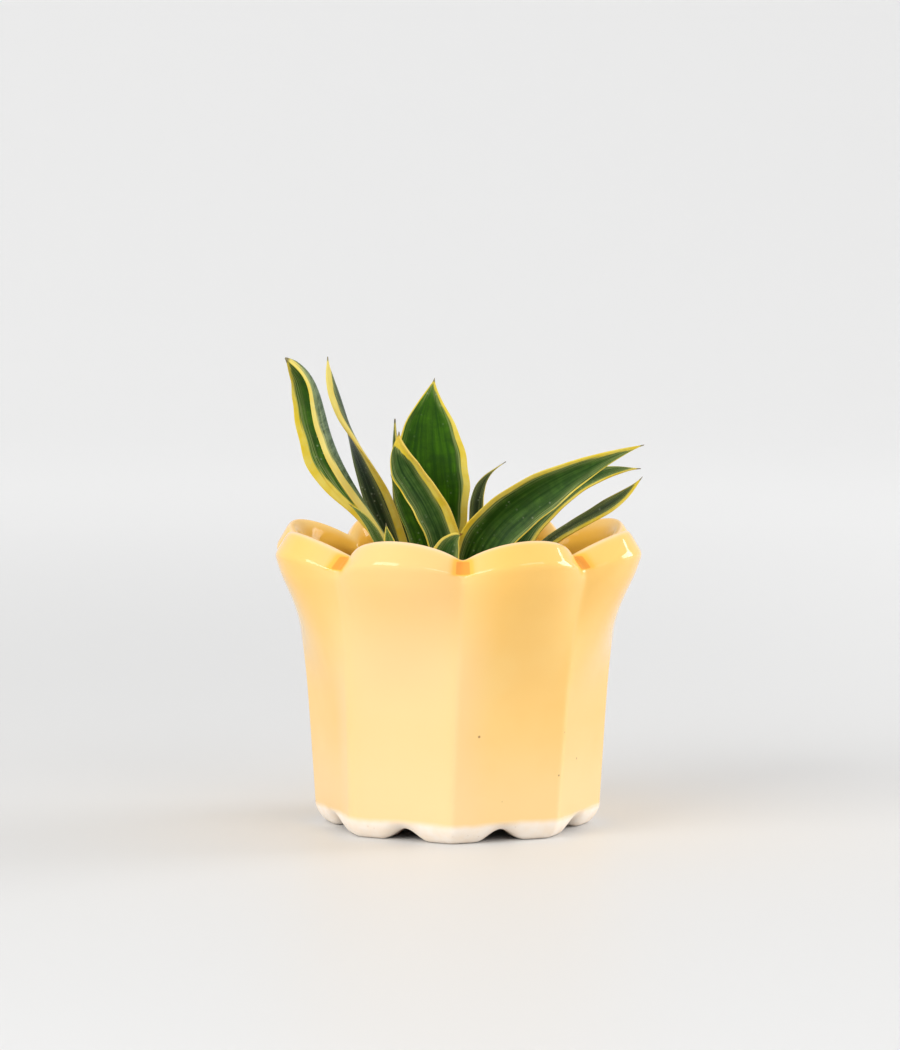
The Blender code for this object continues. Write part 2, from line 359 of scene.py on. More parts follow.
def pot_profile():
    """The pot's rings in order, with eight numbers for each ring, and where each section starts.

    The numbers are corner, middle, corner height, middle height and wave as in pot_rings, then how
    thin the glaze is, how deep it pools, with painted shade under the lip added as pooling, and 1
    on the outside down to 0 on the inside.
    """
    flat = math.cos(math.pi / PANELS)
    sections = []

    def add(corner, middle, low, high, wave=0.0, thin=0.0, pool_and_shade=0.0, outside=0.0):
        numbers = (corner, middle, low, high, wave, thin, pool_and_shade, outside)
        sections.append(np.array(np.broadcast_arrays(*numbers)))

    # Foot, with its cut-outs, in rows that stand closer towards the ground
    share = np.linspace(0, 1, FOOT_ROWS) ** 1.5
    height = FOOT_HEIGHT * share
    corner = BODY_RADIUS - FOOT_INSET * (1 - share) ** 2 - rounded(height)
    add(corner, corner * flat, height, height, wave=CUTOUT_HEIGHT * (1 - share), outside=1.0)

    # Wall
    height = np.linspace(FOOT_HEIGHT, LIP_BOTTOM, WALL_ROWS)[1:]
    # Painted shade: the wall turns orange towards the lip, where the flared lip shades it.
    pool_and_shade = LIP_SHADE * smoothstep(height, LIP_BOTTOM - LIP_SHADE_FADE, LIP_BOTTOM)
    add(*wall_radii(height), height, height, pool_and_shade=pool_and_shade, outside=1.0)

    # Lip, with the glaze thinnest in a narrow band along its top edge
    knots = np.arange(len(LIP_OUT))
    spot = np.linspace(0, knots[-1], LIP_ROWS)
    out, up, notch_out, notch_up = (
        np.interp(spot, knots, outline) * MM for outline in (LIP_OUT, LIP_UP, NOTCH_OUT, NOTCH_UP)
    )
    thin = np.exp(-(((spot - TOP_EDGE + 0.2) / 0.55) ** 2))
    before_edge = smoothstep(spot, TOP_EDGE, TOP_EDGE - 1.5)
    past_edge = smoothstep(spot, TOP_EDGE + 1, TOP_EDGE + 3)
    # Painted shade on the lip's outer face, as on the wall below it; inside, the glaze pools.
    pool_and_shade = LIP_SHADE * before_edge + INSIDE_POOL * past_edge
    outside = smoothstep(spot, TOP_EDGE + 0.5, TOP_EDGE - 1.5)
    add(NOTCH_RADIUS + notch_out, RIM_RADIUS + out, POT_HEIGHT + notch_up, POT_HEIGHT + up,
        thin=thin, pool_and_shade=pool_and_shade, outside=outside)

    # Inside, down to just under the top of the soil, and on to the floor
    height = np.linspace(LIP_BOTTOM - 1 * MM, SOIL_LEVEL - 4 * MM, INSIDE_ROWS)
    corner, middle = wall_radii(height)
    add(corner - WALL, middle - WALL, height, height, pool_and_shade=INSIDE_POOL)
    height = np.linspace(SOIL_LEVEL - 8 * MM, FLOOR_TOP, HIDDEN_ROWS)
    corner, middle = wall_radii(np.maximum(height, FOOT_HEIGHT))
    add(corner - WALL, middle - WALL, height, height)

    # Drain hole, with its edges broken
    height = np.array([FLOOR_TOP, FLOOR_TOP - 0.5 * MM, FOOT_RECESS + 0.5 * MM, FOOT_RECESS])
    radius = DRAIN_RADIUS + np.array([0.5, 0, 0, 0.5]) * MM
    add(radius, radius, height, height)

    # Inner side of the foot, back down to its pads
    height = FOOT_RECESS * np.array(INNER_FOOT_STEPS)
    corner = BODY_RADIUS - FOOT_INSET - FOOT_WIDTH + rounded(height)
    add(corner, corner * flat, height, height, wave=CUTOUT_HEIGHT * (1 - height / FOOT_RECESS))

    starts = np.cumsum([0] + [section.shape[1] for section in sections])
    return np.hstack(sections), starts


# %% The pot's mesh
def pot_mesh():
    """All rings, softened from the wall to the upper inside and round the corners."""
    profile, starts = pot_profile()
    soft = slice(starts[1] + 2, starts[4])      # the foot, the floor and the drain hole stay crisp
    profile[:, soft] = soften(profile[:, soft], ROW_SPREAD, wrap=False, axis=1)
    points = pot_rings(*profile[:5])
    points = soften(points, CORNER_SPREAD, wrap=True, axis=1)
    rows, columns = points.shape[:2]
    height = points[:, :, 2]
    thin, pool_and_shade, outside = (numbers[:, None] for numbers in profile[5:])
    inside = 1 - outside

    share = np.abs(np.arange(columns) % PANEL_STEPS / PANEL_STEPS * 2 - 1)[None, :]
    near_corner = smoothstep(share, 0.78, 0.98)
    notch_bead = POT_HEIGHT + NOTCH_UP[BEAD] * MM
    notch = smoothstep(height, notch_bead, notch_bead + 1 * MM)
    thin_corner = 0.3 * smoothstep(share, 0.86, 1.0) * outside * (1 - notch)
    hollow = np.clip(1 - height / FOOT_RECESS, 0, 1) * inside
    below_soil = inside * (height < FLOOR_TOP)
    marks = {
        "thin_glaze": np.clip(thin * (1 - 0.5 * near_corner) + thin_corner, 0, 1),
        "pool_and_shade": np.clip(pool_and_shade + outside * near_corner * notch, 0, 1),
        "inside": np.broadcast_to(inside, height.shape),
        "under_foot": np.clip(hollow + below_soil, 0, 1),
    }
    return make_mesh("scalloped_pot", points, grid_faces(rows, columns, wrap_rows=True), marks)


pot = pot_mesh()

# %% [markdown]
# ## The glaze
#
# The pot wears a clear, glossy, honey-yellow glaze over pale clay. Where the glaze gathers, it
# turns orange, and where it runs thin on edges, the pale clay shows through. The foot is left bare,
# because glaze would stick to the kiln shelf, so it is matte and cream. Stored marks say where the
# glaze is thin or gathers, and where painted shade turns the lip and the wall under it orange, and
# noise makes all of these uneven. The panels on the side of the key softbox are painted paler, as
# painted light. A few brown specks of iron have burnt through the glaze, and it shines less inside,
# where it lies in its own shade.

# %% Finish of the pot
KEY_LIT_SIDE = (-0.38, -0.92, 0)       # the side painted paler, as painted light from the key softbox
HONEY = (0.95, 0.58, 0.165)
LIGHT_HONEY = (0.96, 0.63, 0.21)
KEY_LIT_HONEY = (0.97, 0.67, 0.33)
DRIFTED_HONEY = (0.97, 0.64, 0.26)
LOW_HONEY = (0.98, 0.72, 0.38)
POOL_AND_SHADE_ORANGE = (1.0, 0.54, 0.075)
DEEP_POOL = (0.93, 0.37, 0.045)
THIN_GLAZE = (0.98, 0.70, 0.46)
IRON = (0.22, 0.09, 0.03)
CLAY, LIGHT_CLAY = (0.98, 0.85, 0.71), (0.99, 0.90, 0.80)
CLAY_GRAIN = (0.60, 0.43, 0.30)
SHADED_CLAY = (0.17, 0.085, 0.055)
GLAZED_ABOVE, BARE_BELOW = 0.0066, 0.0044


def glaze():
    """Honey glaze with pools, thin edges and specks, and bare clay on the foot."""
    r = Recipe("honey_glaze_on_clay")
    where = r.position()
    cloud = r.noise(where, 38, 3)
    fine = r.noise(where, 260, 2)
    drift = r.noise(where, 14, 1)
    edge = r.height() + (r.noise(where, 90, 2) - 0.5) * 0.0018
    bare = edge.smooth(GLAZED_ABOVE, BARE_BELOW)
    # This mark holds the glaze's pools in the notches and inside, and the painted shade under the
    # lip.
    pool_and_shade = r.mark("pool_and_shade") * (0.75 + 0.5 * cloud)
    thin = r.mark("thin_glaze") * (0.7 + 0.6 * cloud)
    level = r.vector_math("MULTIPLY", where, (1, 1, 0))
    around = r.vector_math("NORMALIZE", level)
    facing = r.vector_math("DOT_PRODUCT", around, KEY_LIT_SIDE, output="Value")
    # Painted light: the panels that face the key softbox are painted paler.
    pale = facing.smooth(0.78, 0.97)
    honey = r.blend(cloud.smooth(0.3, 0.72), HONEY, LIGHT_HONEY)
    honey = r.blend(pale * 0.85, honey, KEY_LIT_HONEY)
    honey = r.blend(drift.smooth(0.35, 0.7) * 0.3, honey, DRIFTED_HONEY)
    low = r.height().smooth(0.034, 0.008)
    honey = r.blend(low * 0.5, honey, LOW_HONEY)
    honey = r.blend(pool_and_shade.smooth(0.05, 0.75), honey, POOL_AND_SHADE_ORANGE)
    honey = r.blend(r.mark("pool_and_shade").smooth(0.84, 0.98), honey, DEEP_POOL)
    honey = r.blend(thin.smooth(0.15, 0.95) * 0.75, honey, THIN_GLAZE)

    pits = r.dots(where, 230, 0.03, 0.10) * r.noise(where, 60, 1).smooth(0.6, 0.75)
    specks = r.dots(where, 95, 0.02, 0.045) * drift.smooth(0.52, 0.60)
    honey = r.blend(specks * 0.75, honey, IRON)
    clay = r.blend(fine.smooth(0.3, 0.7), CLAY, LIGHT_CLAY)
    clay = r.blend(r.dots(where, 420, 0.05, 0.18) * 0.25, clay, CLAY_GRAIN)
    clay = r.blend(r.mark("under_foot").smooth(0.1, 0.9), clay, SHADED_CLAY)

    rough = 0.08 + 0.06 * cloud + 0.05 * pits
    grain = r.bump(fine + r.noise(where, 900, 2), 0.00006, 0.5)
    skin = r.bump(cloud * 0.6 + drift - pits * 0.12, 0.00040, 0.5)
    normal = r.node("Mix", {"data_type": "VECTOR"}, {0: bare, 4: skin, 5: grain}, output=1)
    return r.finish(
        Base_Color=r.blend(bare, honey, clay),
        Roughness=rough * (1 - bare) + bare * 0.72,
        Coat_Weight=0.65 * (1 - bare) * (1 - 0.8 * r.mark("inside")),
        Coat_Roughness=0.05,
        Specular_IOR_Level=0.08,
        Normal=normal,
    )


place(pot, "pot_glaze", glaze(), "pot")

# %% [markdown]
# ## The leaves
#
# A snake plant's leaf is one stiff, fleshy blade: a shallow channel that twists and narrows to a
# hard point. It could be bent from a strip with curve modifiers, but the turn along each leaf
# matters here, so the blade is carried along a Bezier midrib. The rows are the CAD's own, with
# three entries more: the widths of the yellow margins in millimetres, left and right, the share of
# them that is left at the tip, and how much painted shade darkens the leaf where it lies in the
# shade of others, from 0 to 1.

# %% Rows of the leaves
# Name, foot, control points of the midrib, half width, numbers for leaf_breadth, turns at the foot
# and at the tip in degrees, fold, and the three entries for the colours.
LEAVES = (
    ("leaf_left_outer", (-10, -10),
     ((-24.5, -7.5, 35.5), (-46.5, -7, 37), (-31, -5.5, 60.5), (-48, -16.5, 68.5)),
     7, (0.2, 3, 0.52, 0.72), (66, 61), 0.87, (1.9, 0.95), 0.35, 0.1),
    ("leaf_left_inner", (-11.5, 6),
     ((-20, 5.5, 25), (-29.5, 5.5, 45.5), (-37, 7.5, 56.5), (-37, 9, 67.5)),
     4.5, (0.49, 1, 0.48, 1.5), (-8, 142), 0.17, (0.1, 2.3), 0.6, 0.9),
    ("leaf_back_needle", (-12, 24),
     ((-14, 23, 12), (-18, 22, 33), (-18, 20, 49)),
     2.5, (0.7, 1, 0.45, 1.5), (20, 50), 0.3, (0.0, 0.1), 0.3, 0.6),
    ("leaf_centre_left", (-2.5, -8.5),
     ((1, -8.5, 19), (-7, -7.5, 31), (-16.5, -6.5, 36), (-16.5, -4, 47)),
     5, (1, 1, 0.72, 1.5), (7, 35), 0.57, (0.35, 3.0), 1.0, 0.45),
    ("leaf_front_left", (-6, -3.5),
     ((-7.5, -3.5, 17), (-16.5, -3.5, 31), (-19, -4, 35)),
     3.5, (0.7, 1, 0.47, 1.5), (-6, -3), 0.26, (0.05, 0.5), 0.5, 0.1),
    ("leaf_centre_tall", (0.5, 7),
     ((-6.5, 7, 12.5), (-5, 7, 27.5), (-10.5, 8, 43.5), (-6.5, 9, 61.5)),
     10.5, (0.18, 1, 0.62, 1.36), (20, -7), 0.17, (0.7, 2.0), 0.4, 0.0),
    ("leaf_back_small", (4.5, 19),
     ((6.5, 19.5, 16), (4, 20, 28.5), (5, 21, 31), (14, 22, 36.5)),
     2, (0.6, 1, 0.5, 2.57), (0, -19), 0.28, (0.05, 0.35), 0.5, 0.9),
    ("leaf_right_large", (4, -17),
     ((1, -18.5, 17), (10.5, -21.5, 26.5), (34, -24.5, 40.5), (51.5, -26.5, 45)),
     7, (0.42, 1, 0.4, 1.5), (15, -20), 0.48, (1.4, 0.35), 0.6, 0.35),
    ("leaf_right_upper", (11, 0),
     ((15, -0.5, 16), (24.5, -2.5, 31), (39.5, -5.5, 36.5), (51.5, -8.5, 37)),
     4, (0.6, 1, 0.48, 1.5), (20, 33), 0.31, (0.15, 1.0), 0.3, 0.45),
    ("leaf_right_lower", (12, -8),
     ((18.5, -10, 20), (41.5, -15, 21.5), (51.5, -19, 35.5)),
     2, (0.78, 1, 0.75, 1.5), (53, 18), 0.45, (0.05, 1.2), 0.5, 0.9),
    ("leaf_front_clipped", (-5, -25.5),
     ((-5.5, -25, 9.5), (-3, -24.5, 19.5), (1.5, -23.5, 20)),
     4.5, (0.8, 1, 0.29, 1), (2, 12), 0.32, (0.9, 0.5), 0.8, 0.2),
    ("leaf_left_low", (-17, -17),
     ((-18.5, -16.5, 17.5), (-26.5, -15.5, 25), (-30.5, -14, 27.5)),
     1.5, (0.9, 1, 0.4, 1.5), (-1, -4), 0.3, (0.1, 0.2), 0.3, 0.2),
    ("leaf_left_sprout", (-13.5, -20),
     ((-16, -20, 8), (-19.5, -20, 17.5), (-20, -19, 22.5)),
     2.5, (0.9, 1, 0.4, 1.5), (-1, -1), 0.3, (0.5, 0.4), 0.5, 0.1),
)
PLANTING_DEPTH = 5.0        # in millimetres, like the rows and the lengths below
LEAF_THICKNESS = 1.4
MARGIN_THICKNESS = 0.6
TIP_SHARE = 0.03            # width at the very tip, as a share of the widest
LEAF_ROWS = 132
LEAF_COLUMNS = 60
TIP_CROWDING = 1.25         # a power above 1 puts the rows closer together towards the tip
# Ripples of the outline: share of the width, radians along the leaf, radians of shift per leaf
RIPPLES = ((0.025, 19, 2.1), (0.015, 41, 1))
THORN_LENGTH = 1.5          # over this length the tip narrows to a thorn
THORN_NARROWING = 0.8
THORNY_WIDTH = 3            # leaves with a smaller half width have no thorn
ROUND_MARGIN = 22           # the higher this power, the tighter the margin's rounding
WAVE_HEIGHT = 0.35          # how far the margins wave up and down
FADE_SHARE = 0.55           # the share of the length over which the margins narrow to the tip

# %% Surface of a leaf
def bezier(controls, share):
    """Points and directions of a Bezier curve: control points weighted by Bernstein terms."""
    controls = np.asarray(controls, dtype=float)
    order = len(controls) - 1
    share = share[:, None]

    def terms(points, order):
        total = np.zeros((len(share), 3))
        for number, point in enumerate(points):
            weight = math.comb(order, number) * share**number * (1 - share) ** (order - number)
            total = total + weight * point
        return total

    heading = terms(np.diff(controls, axis=0), order - 1)
    return terms(controls, order), heading / np.linalg.norm(heading, axis=1, keepdims=True)


def leaf_breadth(share, foot_share, rise_power, widest_at, point_power):
    """Width as a share of the widest: a rising sine up to widest_at, then a curve to the point."""
    rise = np.sin(np.pi / 2 * np.clip(share / widest_at, 0, 1)) ** rise_power
    rest = np.clip((share - widest_at) / (1 - widest_at), 0, 1)
    point = TIP_SHARE + (1 - TIP_SHARE) * (1 - rest**2) ** point_power
    return np.where(share < widest_at, foot_share + (1 - foot_share) * rise, point)


def leaf_mesh(row, number):
    """A blade carried along its midrib.

    Rows run from the foot to the tip and columns run round the section: over the upper face from
    the left margin to the right, and back over the lower face. The section is a parabola, thickest
    at the midrib, with round margins.
    """
    name, foot, handles, half_width, outline, turns, fold, yellow, tip_yellow, painted_shade = row
    along = 1 - (1 - np.linspace(0, 1, LEAF_ROWS)) ** TIP_CROWDING
    controls = [(*foot, -PLANTING_DEPTH), *handles]
    centre, heading = bezier(controls, along)
    level = np.cross(heading, (0, -1, 0))
    level /= np.linalg.norm(level, axis=1, keepdims=True)
    facing = np.cross(level, heading)
    turn = np.radians(turns[0] + (turns[1] - turns[0]) * smoothstep(along))[:, None]
    across = level * np.cos(turn) + facing * np.sin(turn)
    upward = facing * np.cos(turn) - level * np.sin(turn)
    lengths = np.linalg.norm(np.diff(centre, axis=0), axis=1)
    left_over = (lengths.sum() - np.append(0, np.cumsum(lengths)))[:, None]

    # Half the width, row by row
    breadth = leaf_breadth(along, *outline)
    ripple = 1
    for share, turns_along, shift in RIPPLES:
        ripple = ripple + share * np.sin(along * turns_along + number * shift)
    thorn = 1 - THORN_NARROWING * np.exp(-left_over / THORN_LENGTH) * (half_width > THORNY_WIDTH)
    width = (half_width * breadth * ripple)[:, None] * thorn

    # Section: side runs from -1 at the left margin to 1 at the right
    half = LEAF_COLUMNS // 2
    sweep = np.linspace(-1, 1, half + 1)[:-1]
    side = np.sin(np.pi / 2 * np.concatenate([sweep, -sweep]))[None, :]
    over = np.concatenate([np.ones(half), -np.ones(half)])[None, :]
    slim = np.minimum(1.0, 0.35 + 2.2 * breadth)[:, None]
    thick = (MARGIN_THICKNESS + (LEAF_THICKNESS - MARGIN_THICKNESS) * (1 - side**2)) * slim / 2
    thick = thick * np.sqrt(np.clip(1 - np.abs(side) ** ROUND_MARGIN, 0, 1))
    thick = thick * np.hypot(1, 2 * fold * side)
    wave = WAVE_HEIGHT * np.sin(along * 11 + number * 1.7)[:, None]
    wave = wave * side**3 * np.minimum(1, width / 5)
    sideways = across[:, None] * (width * side)[..., None]
    upwards = upward[:, None] * (width * fold * side**2 + over * thick + wave)[..., None]
    points = centre[:, None] + sideways + upwards

    bottom = centre[0] - heading[0] * 0.1
    tip = centre[-1] + heading[-1] * 0.25
    points = np.vstack([points.reshape(-1, 3), bottom, tip]) * MM + (0, 0, SOIL_LEVEL)
    last = LEAF_ROWS * LEAF_COLUMNS
    faces = grid_faces(LEAF_ROWS, LEAF_COLUMNS)
    faces += fan_faces(0, LEAF_COLUMNS, last, outward=False)
    faces += fan_faces(last - LEAF_COLUMNS, LEAF_COLUMNS, last + 1, outward=True)

    def spread(values):
        full = np.broadcast_to(values, (LEAF_ROWS, LEAF_COLUMNS)).ravel()
        return np.append(full, [full[0], full[-1]])

    fade = smoothstep(left_over, 0, FADE_SHARE * lengths.sum())
    margin = tip_yellow + (1 - tip_yellow) * fade
    from_left = (1 + side) * width - yellow[0] * margin
    from_right = (1 - side) * width - yellow[1] * margin
    marks = {
        "across": spread(side),
        "inside_margin": spread(np.minimum(from_left, from_right)),
        "underside": spread(0.5 - 0.5 * over),
        "leaf_number": spread(number),
        "mm_to_tip": spread(left_over),
        "painted_shade": spread(painted_shade),
        "clipped": spread("clipped" in name),
    }
    return make_mesh(name.replace("leaf_", "blade_"), points, faces, marks)


# %% [markdown]
# ## The skin of a leaf
#
# The skin is waxy. Its face is deep green with faint lengthwise streaks, the margins are yellow
# with an uneven border, and the back is greyer, with darker marbling across it. The point is dry
# and dark, or red-brown where a leaf was clipped. All of this follows the leaf, so the patterns
# read the marks stored on its points.

# %% Finish of the leaves
DEEP_GREEN, FRESH_GREEN = (0.014, 0.068, 0.0005), (0.055, 0.168, 0.0010)
CLOUD_GREEN = (0.014, 0.055, 0.0010)
SHADE, LIGHT_SHADE = (0.010, 0.018, 0.009), (0.052, 0.068, 0.042)
BACK, LIGHT_BACK = (0.028, 0.062, 0.025), (0.125, 0.180, 0.100)
BACK_FIBRE = (0.19, 0.25, 0.15)
BAND = (0.010, 0.042, 0.003)
YELLOW, LIGHT_YELLOW = (0.76, 0.57, 0.040), (0.81, 0.67, 0.13)
YELLOW_STREAK = (0.66, 0.40, 0.02)
YELLOW_BACK = (0.78, 0.66, 0.28)
BORDER_STREAK = (0.38, 0.45, 0.15)
HEM = (0.70, 0.42, 0.06)
FLECK = (0.50, 0.56, 0.40)
DRYING, DRY = (0.050, 0.060, 0.040), (0.16, 0.145, 0.12)
CLIPPED = (0.13, 0.028, 0.012)


def leaf_skin():
    """Green face, marbled back, yellow margins and dry tip, all from the blade's marks."""
    r = Recipe("waxy_leaf")
    where = r.position()
    across = r.mark("across")
    number = r.mark("leaf_number")
    under = r.mark("underside")
    reach = r.mark("mm_to_tip")
    dark = r.mark("painted_shade")
    streak = r.noise(r.vector(across * 9, reach * 0.035, number * 7.3), 1.0, 3)
    fibre = r.noise(r.vector(across * 40, reach * 0.06, number * 3.1), 1.0, 2)
    cloud = r.noise(where, 210, 3)
    fine = r.noise(where, 900, 2)
    band = r.noise(r.vector(across * 1.6, reach * 0.42, number * 5.7), 1.0, 4, 0.6)

    face = r.blend(streak.smooth(0.3, 0.72), DEEP_GREEN, FRESH_GREEN)
    face = r.blend(cloud.smooth(0.42, 0.66) * 0.5, face, CLOUD_GREEN)
    shade = r.blend(streak.smooth(0.35, 0.65), SHADE, LIGHT_SHADE)
    # Painted shade: leaves that lie in the shade of others are painted darker, on the face and on
    # the back.
    face = r.blend(dark, face, shade)
    back = r.blend(band.smooth(0.38, 0.62), BACK, LIGHT_BACK)
    back = r.blend(fibre.smooth(0.5, 0.85) * 0.4, back, BACK_FIBRE)
    back = r.blend(dark * 0.7, back, shade)
    green = r.blend(under * 0.95, face, back)
    green = r.blend(band.smooth(0.60, 0.40) * (1 - under) * 0.35, green, BAND)

    border = r.mark("inside_margin") + (streak - 0.5) * 1.2 + (fibre - 0.5) * 0.7
    yellow = r.blend(cloud.smooth(0.3, 0.7), YELLOW, LIGHT_YELLOW)
    yellow = r.blend(streak.smooth(0.5, 0.8) * 0.7, yellow, YELLOW_STREAK)
    yellow = r.blend(under * 0.35, yellow, YELLOW_BACK)
    pale = border.smooth(2.0, 0.1) * fibre.smooth(0.38, 0.66)
    green = r.blend(pale * 0.7, green, BORDER_STREAK)
    skin = r.blend(border.smooth(0.12, -0.12), green, yellow)
    hem = r.mark("inside_margin").smooth(-1.2, -2.2) * 0.35
    skin = r.blend(hem, skin, HEM)

    flecks = r.dots(where, 620, 0.08, 0.26) * r.noise(where, 95, 2).smooth(0.48, 0.62)
    skin = r.blend(flecks * 0.22, skin, FLECK)
    tip = (reach + (fine - 0.5) * 0.8).smooth(1.5, 0.6)
    end = (reach + (fine - 0.5) * 0.5).smooth(0.9, 0.4)
    dry = r.blend(end, DRYING, DRY)
    dry = r.blend(r.mark("clipped"), dry, CLIPPED)
    skin = r.blend(tip * 0.85, skin, dry)

    rough = 0.32 + 0.14 * cloud + 0.12 * under
    ribs = r.bump(fibre, 0.00018, 0.6)
    normal = r.bump(fine * 0.5 + cloud, 0.00022, 0.5, under=ribs)
    return r.finish(
        Base_Color=skin,
        Roughness=rough,
        Specular_IOR_Level=0.12,
        Normal=normal,
    )


waxy_leaf = leaf_skin()
for number, row in enumerate(LEAVES):
    place(leaf_mesh(row, number), row[0] + "_green", waxy_leaf, row[0])

# %% [markdown]
# ## The soil
#
# Potting mix is dark peat with bark and a few white perlite grains. The bed is one closed skin
# that fills the pot up to its level, with a crumbly top made by adding waves of many sizes. Loose
# crumbs, bark and perlite lie on it as small stones of twenty faces each, because only their
# outlines are seen.

# %% The bed of soil
SOIL_GAP = 0.6 * MM         # between the soil and the pot
SIDE_ROWS = 12
TOP_ROWS = 84
TOP_SHARES = (0.985, 0.02)  # its first and last ring, as shares of the wall's outline
LEVEL_BEYOND = 0.93         # outside this share the crumbs flatten out towards the wall
CRUMBS = ((9.0, 0.55, 5), (4.0, 0.38, 7), (1.9, 0.24, 9), (0.95, 0.13, 9))
random = np.random.default_rng(7)


def crumble(x, y):
    """Height of the crumbly top: a sum of crossed sine waves in random directions.

    CRUMBS gives the length and height of the waves in millimetres and how many there are, finer
    and lower in turn.
    """
    total = np.zeros_like(x)
    for size, height, count in CRUMBS:
        turns = random.uniform(0, 2 * np.pi, count)
        phases = random.uniform(0, 2 * np.pi, count)
        scales = 2 * np.pi / (size * MM * random.uniform(0.7, 1.3, count))
        for turn, phase, scale in zip(turns, phases, scales):
            wave = np.sin((x * math.cos(turn) + y * math.sin(turn)) * scale + phase)
            total = total + wave * height * MM / math.sqrt(count)
    return total


def soil_mesh():
    """Rings up the side and in over the top, which is the wall's outline shrunk to the middle."""
    side = np.linspace(FLOOR_TOP + 0.4 * MM, SOIL_LEVEL - 0.8 * MM, SIDE_ROWS)
    corner, middle = wall_radii(side)
    inset = WALL + SOIL_GAP
    walls = pot_rings(corner - inset, middle - inset, side, side, side * 0)
    share = np.linspace(*TOP_SHARES, TOP_ROWS)[:, None, None]
    top = walls[-1:] * share
    bump = crumble(top[..., 0], top[..., 1]) * smoothstep(share[..., 0], 1.0, LEVEL_BEYOND)
    top[..., 2] = SOIL_LEVEL + SOIL_MOUND * (1 - share[..., 0] ** 2) + bump - 0.5 * MM
    points = np.concatenate([walls, top])
    rows, columns = points.shape[:2]
    bottom = (0, 0, side[0])
    middle_top = (0, 0, float(points[-1, :, 2].mean()))
    last = rows * columns
    faces = grid_faces(rows, columns)
    faces += fan_faces(0, columns, last, outward=False)
    faces += fan_faces(last - columns, columns, last + 1, outward=True)
    points = np.vstack([points.reshape(-1, 3), bottom, middle_top])
    return make_mesh("soil_bed", points, faces), top


bed, bed_top = soil_mesh()

# %% Finish of the soil
def soil_finish(name, dark, light, chips):
    """A matte, crumbly finish between two colours, with chips of a third."""
    r = Recipe(name)
    where = r.position()
    cloud = r.noise(where, 160, 4, 0.65)
    fine = r.noise(where, 900, 3, 0.6)
    earth = r.blend(cloud.smooth(0.3, 0.75), dark, light)
    earth = r.blend(fine.smooth(0.62, 0.75) * 0.6, earth, chips)
    height = cloud + fine * 0.5
    return r.finish(
        Base_Color=earth,
        Roughness=0.82 + 0.15 * fine,
        Normal=r.bump(height, 0.0006, 0.9),
    )


peat = soil_finish("moist_peat", (0.016, 0.010, 0.007), (0.062, 0.038, 0.024), (0.13, 0.08, 0.05))
bark = soil_finish("bark", (0.075, 0.036, 0.018), (0.19, 0.105, 0.055), (0.30, 0.19, 0.11))
perlite = soil_finish("perlite", (0.62, 0.60, 0.55), (0.80, 0.79, 0.75), (0.45, 0.40, 0.33))
place(bed, "potting_soil", peat, "soil")

# %% Loose bits on the soil
SCATTER_RADIUS = 0.0385     # how far from the pot's axis bits can lie
UNEVENNESS = 0.22           # how far a corner of a pebble moves in or out, as a share
MOST_TILT = 0.5             # in radians
BED_STEP = 7                # only every seventh point of the bed is looked at for its height


def pebble():
    """The twelve corners and twenty faces of an icosahedron, from the golden ratio."""
    golden = (1 + math.sqrt(5)) / 2
    corners = np.array([
        (-1, golden, 0), (1, golden, 0), (-1, -golden, 0), (1, -golden, 0),
        (0, -1, golden), (0, 1, golden), (0, -1, -golden), (0, 1, -golden),
        (golden, 0, -1), (golden, 0, 1), (-golden, 0, -1), (-golden, 0, 1),
    ])
    faces = np.array([
        (0, 11, 5), (0, 5, 1), (0, 1, 7), (0, 7, 10), (0, 10, 11), (1, 5, 9), (5, 11, 4),
        (11, 10, 2), (10, 7, 6), (7, 1, 8), (3, 9, 4), (3, 4, 2), (3, 2, 6), (3, 6, 8),
        (3, 8, 9), (4, 9, 5), (2, 4, 11), (6, 2, 10), (8, 6, 7), (9, 8, 1),
    ])
    return corners / np.linalg.norm(corners[0]), faces


def scatter(name, count, smallest, largest, stretch, surface, lie):
    """Many pebbles in one mesh, each stretched, turned and uneven, at places on the bed of soil.

    smallest and largest are radii in millimetres. lie is how high a pebble's middle lies above
    the bed, as a share of its own half height.
    """
    corners, faces = pebble()
    radius = np.sqrt(random.uniform(0, 1, count)) * SCATTER_RADIUS
    angle = random.uniform(0, 2 * np.pi, count)
    spot = np.stack([radius * np.cos(angle), radius * np.sin(angle)], axis=-1)
    bed_points = bed_top.reshape(-1, 3)[::BED_STEP]
    nearest = np.argmin(((spot[:, None] - bed_points[None, :, :2]) ** 2).sum(-1), axis=1)
    level = bed_points[nearest, 2]
    size = random.uniform(smallest, largest, count)[:, None, None] * MM
    uneven = random.uniform(-UNEVENNESS, UNEVENNESS, (count, len(corners), 1))
    shape = corners[None] * (1 + uneven) * np.array(stretch)[None, None] * size
    tilt = random.uniform(-MOST_TILT, MOST_TILT, count)[:, None]
    spin = random.uniform(0, 2 * np.pi, count)[:, None]
    x, y, z = shape[..., 0], shape[..., 1], shape[..., 2]
    y, z = y * np.cos(tilt) - z * np.sin(tilt), y * np.sin(tilt) + z * np.cos(tilt)
    x, y = x * np.cos(spin) - y * np.sin(spin), x * np.sin(spin) + y * np.cos(spin)
    lift = (level + size[:, 0, 0] * stretch[2] * lie)[:, None]
    points = np.stack([x + spot[:, :1], y + spot[:, 1:], z + lift], axis=-1)
    offsets = len(corners) * np.arange(count)[:, None, None]
    piece = make_mesh(name, points, (faces[None] + offsets).reshape(-1, 3).tolist())
    place(piece, "potting_soil", surface)


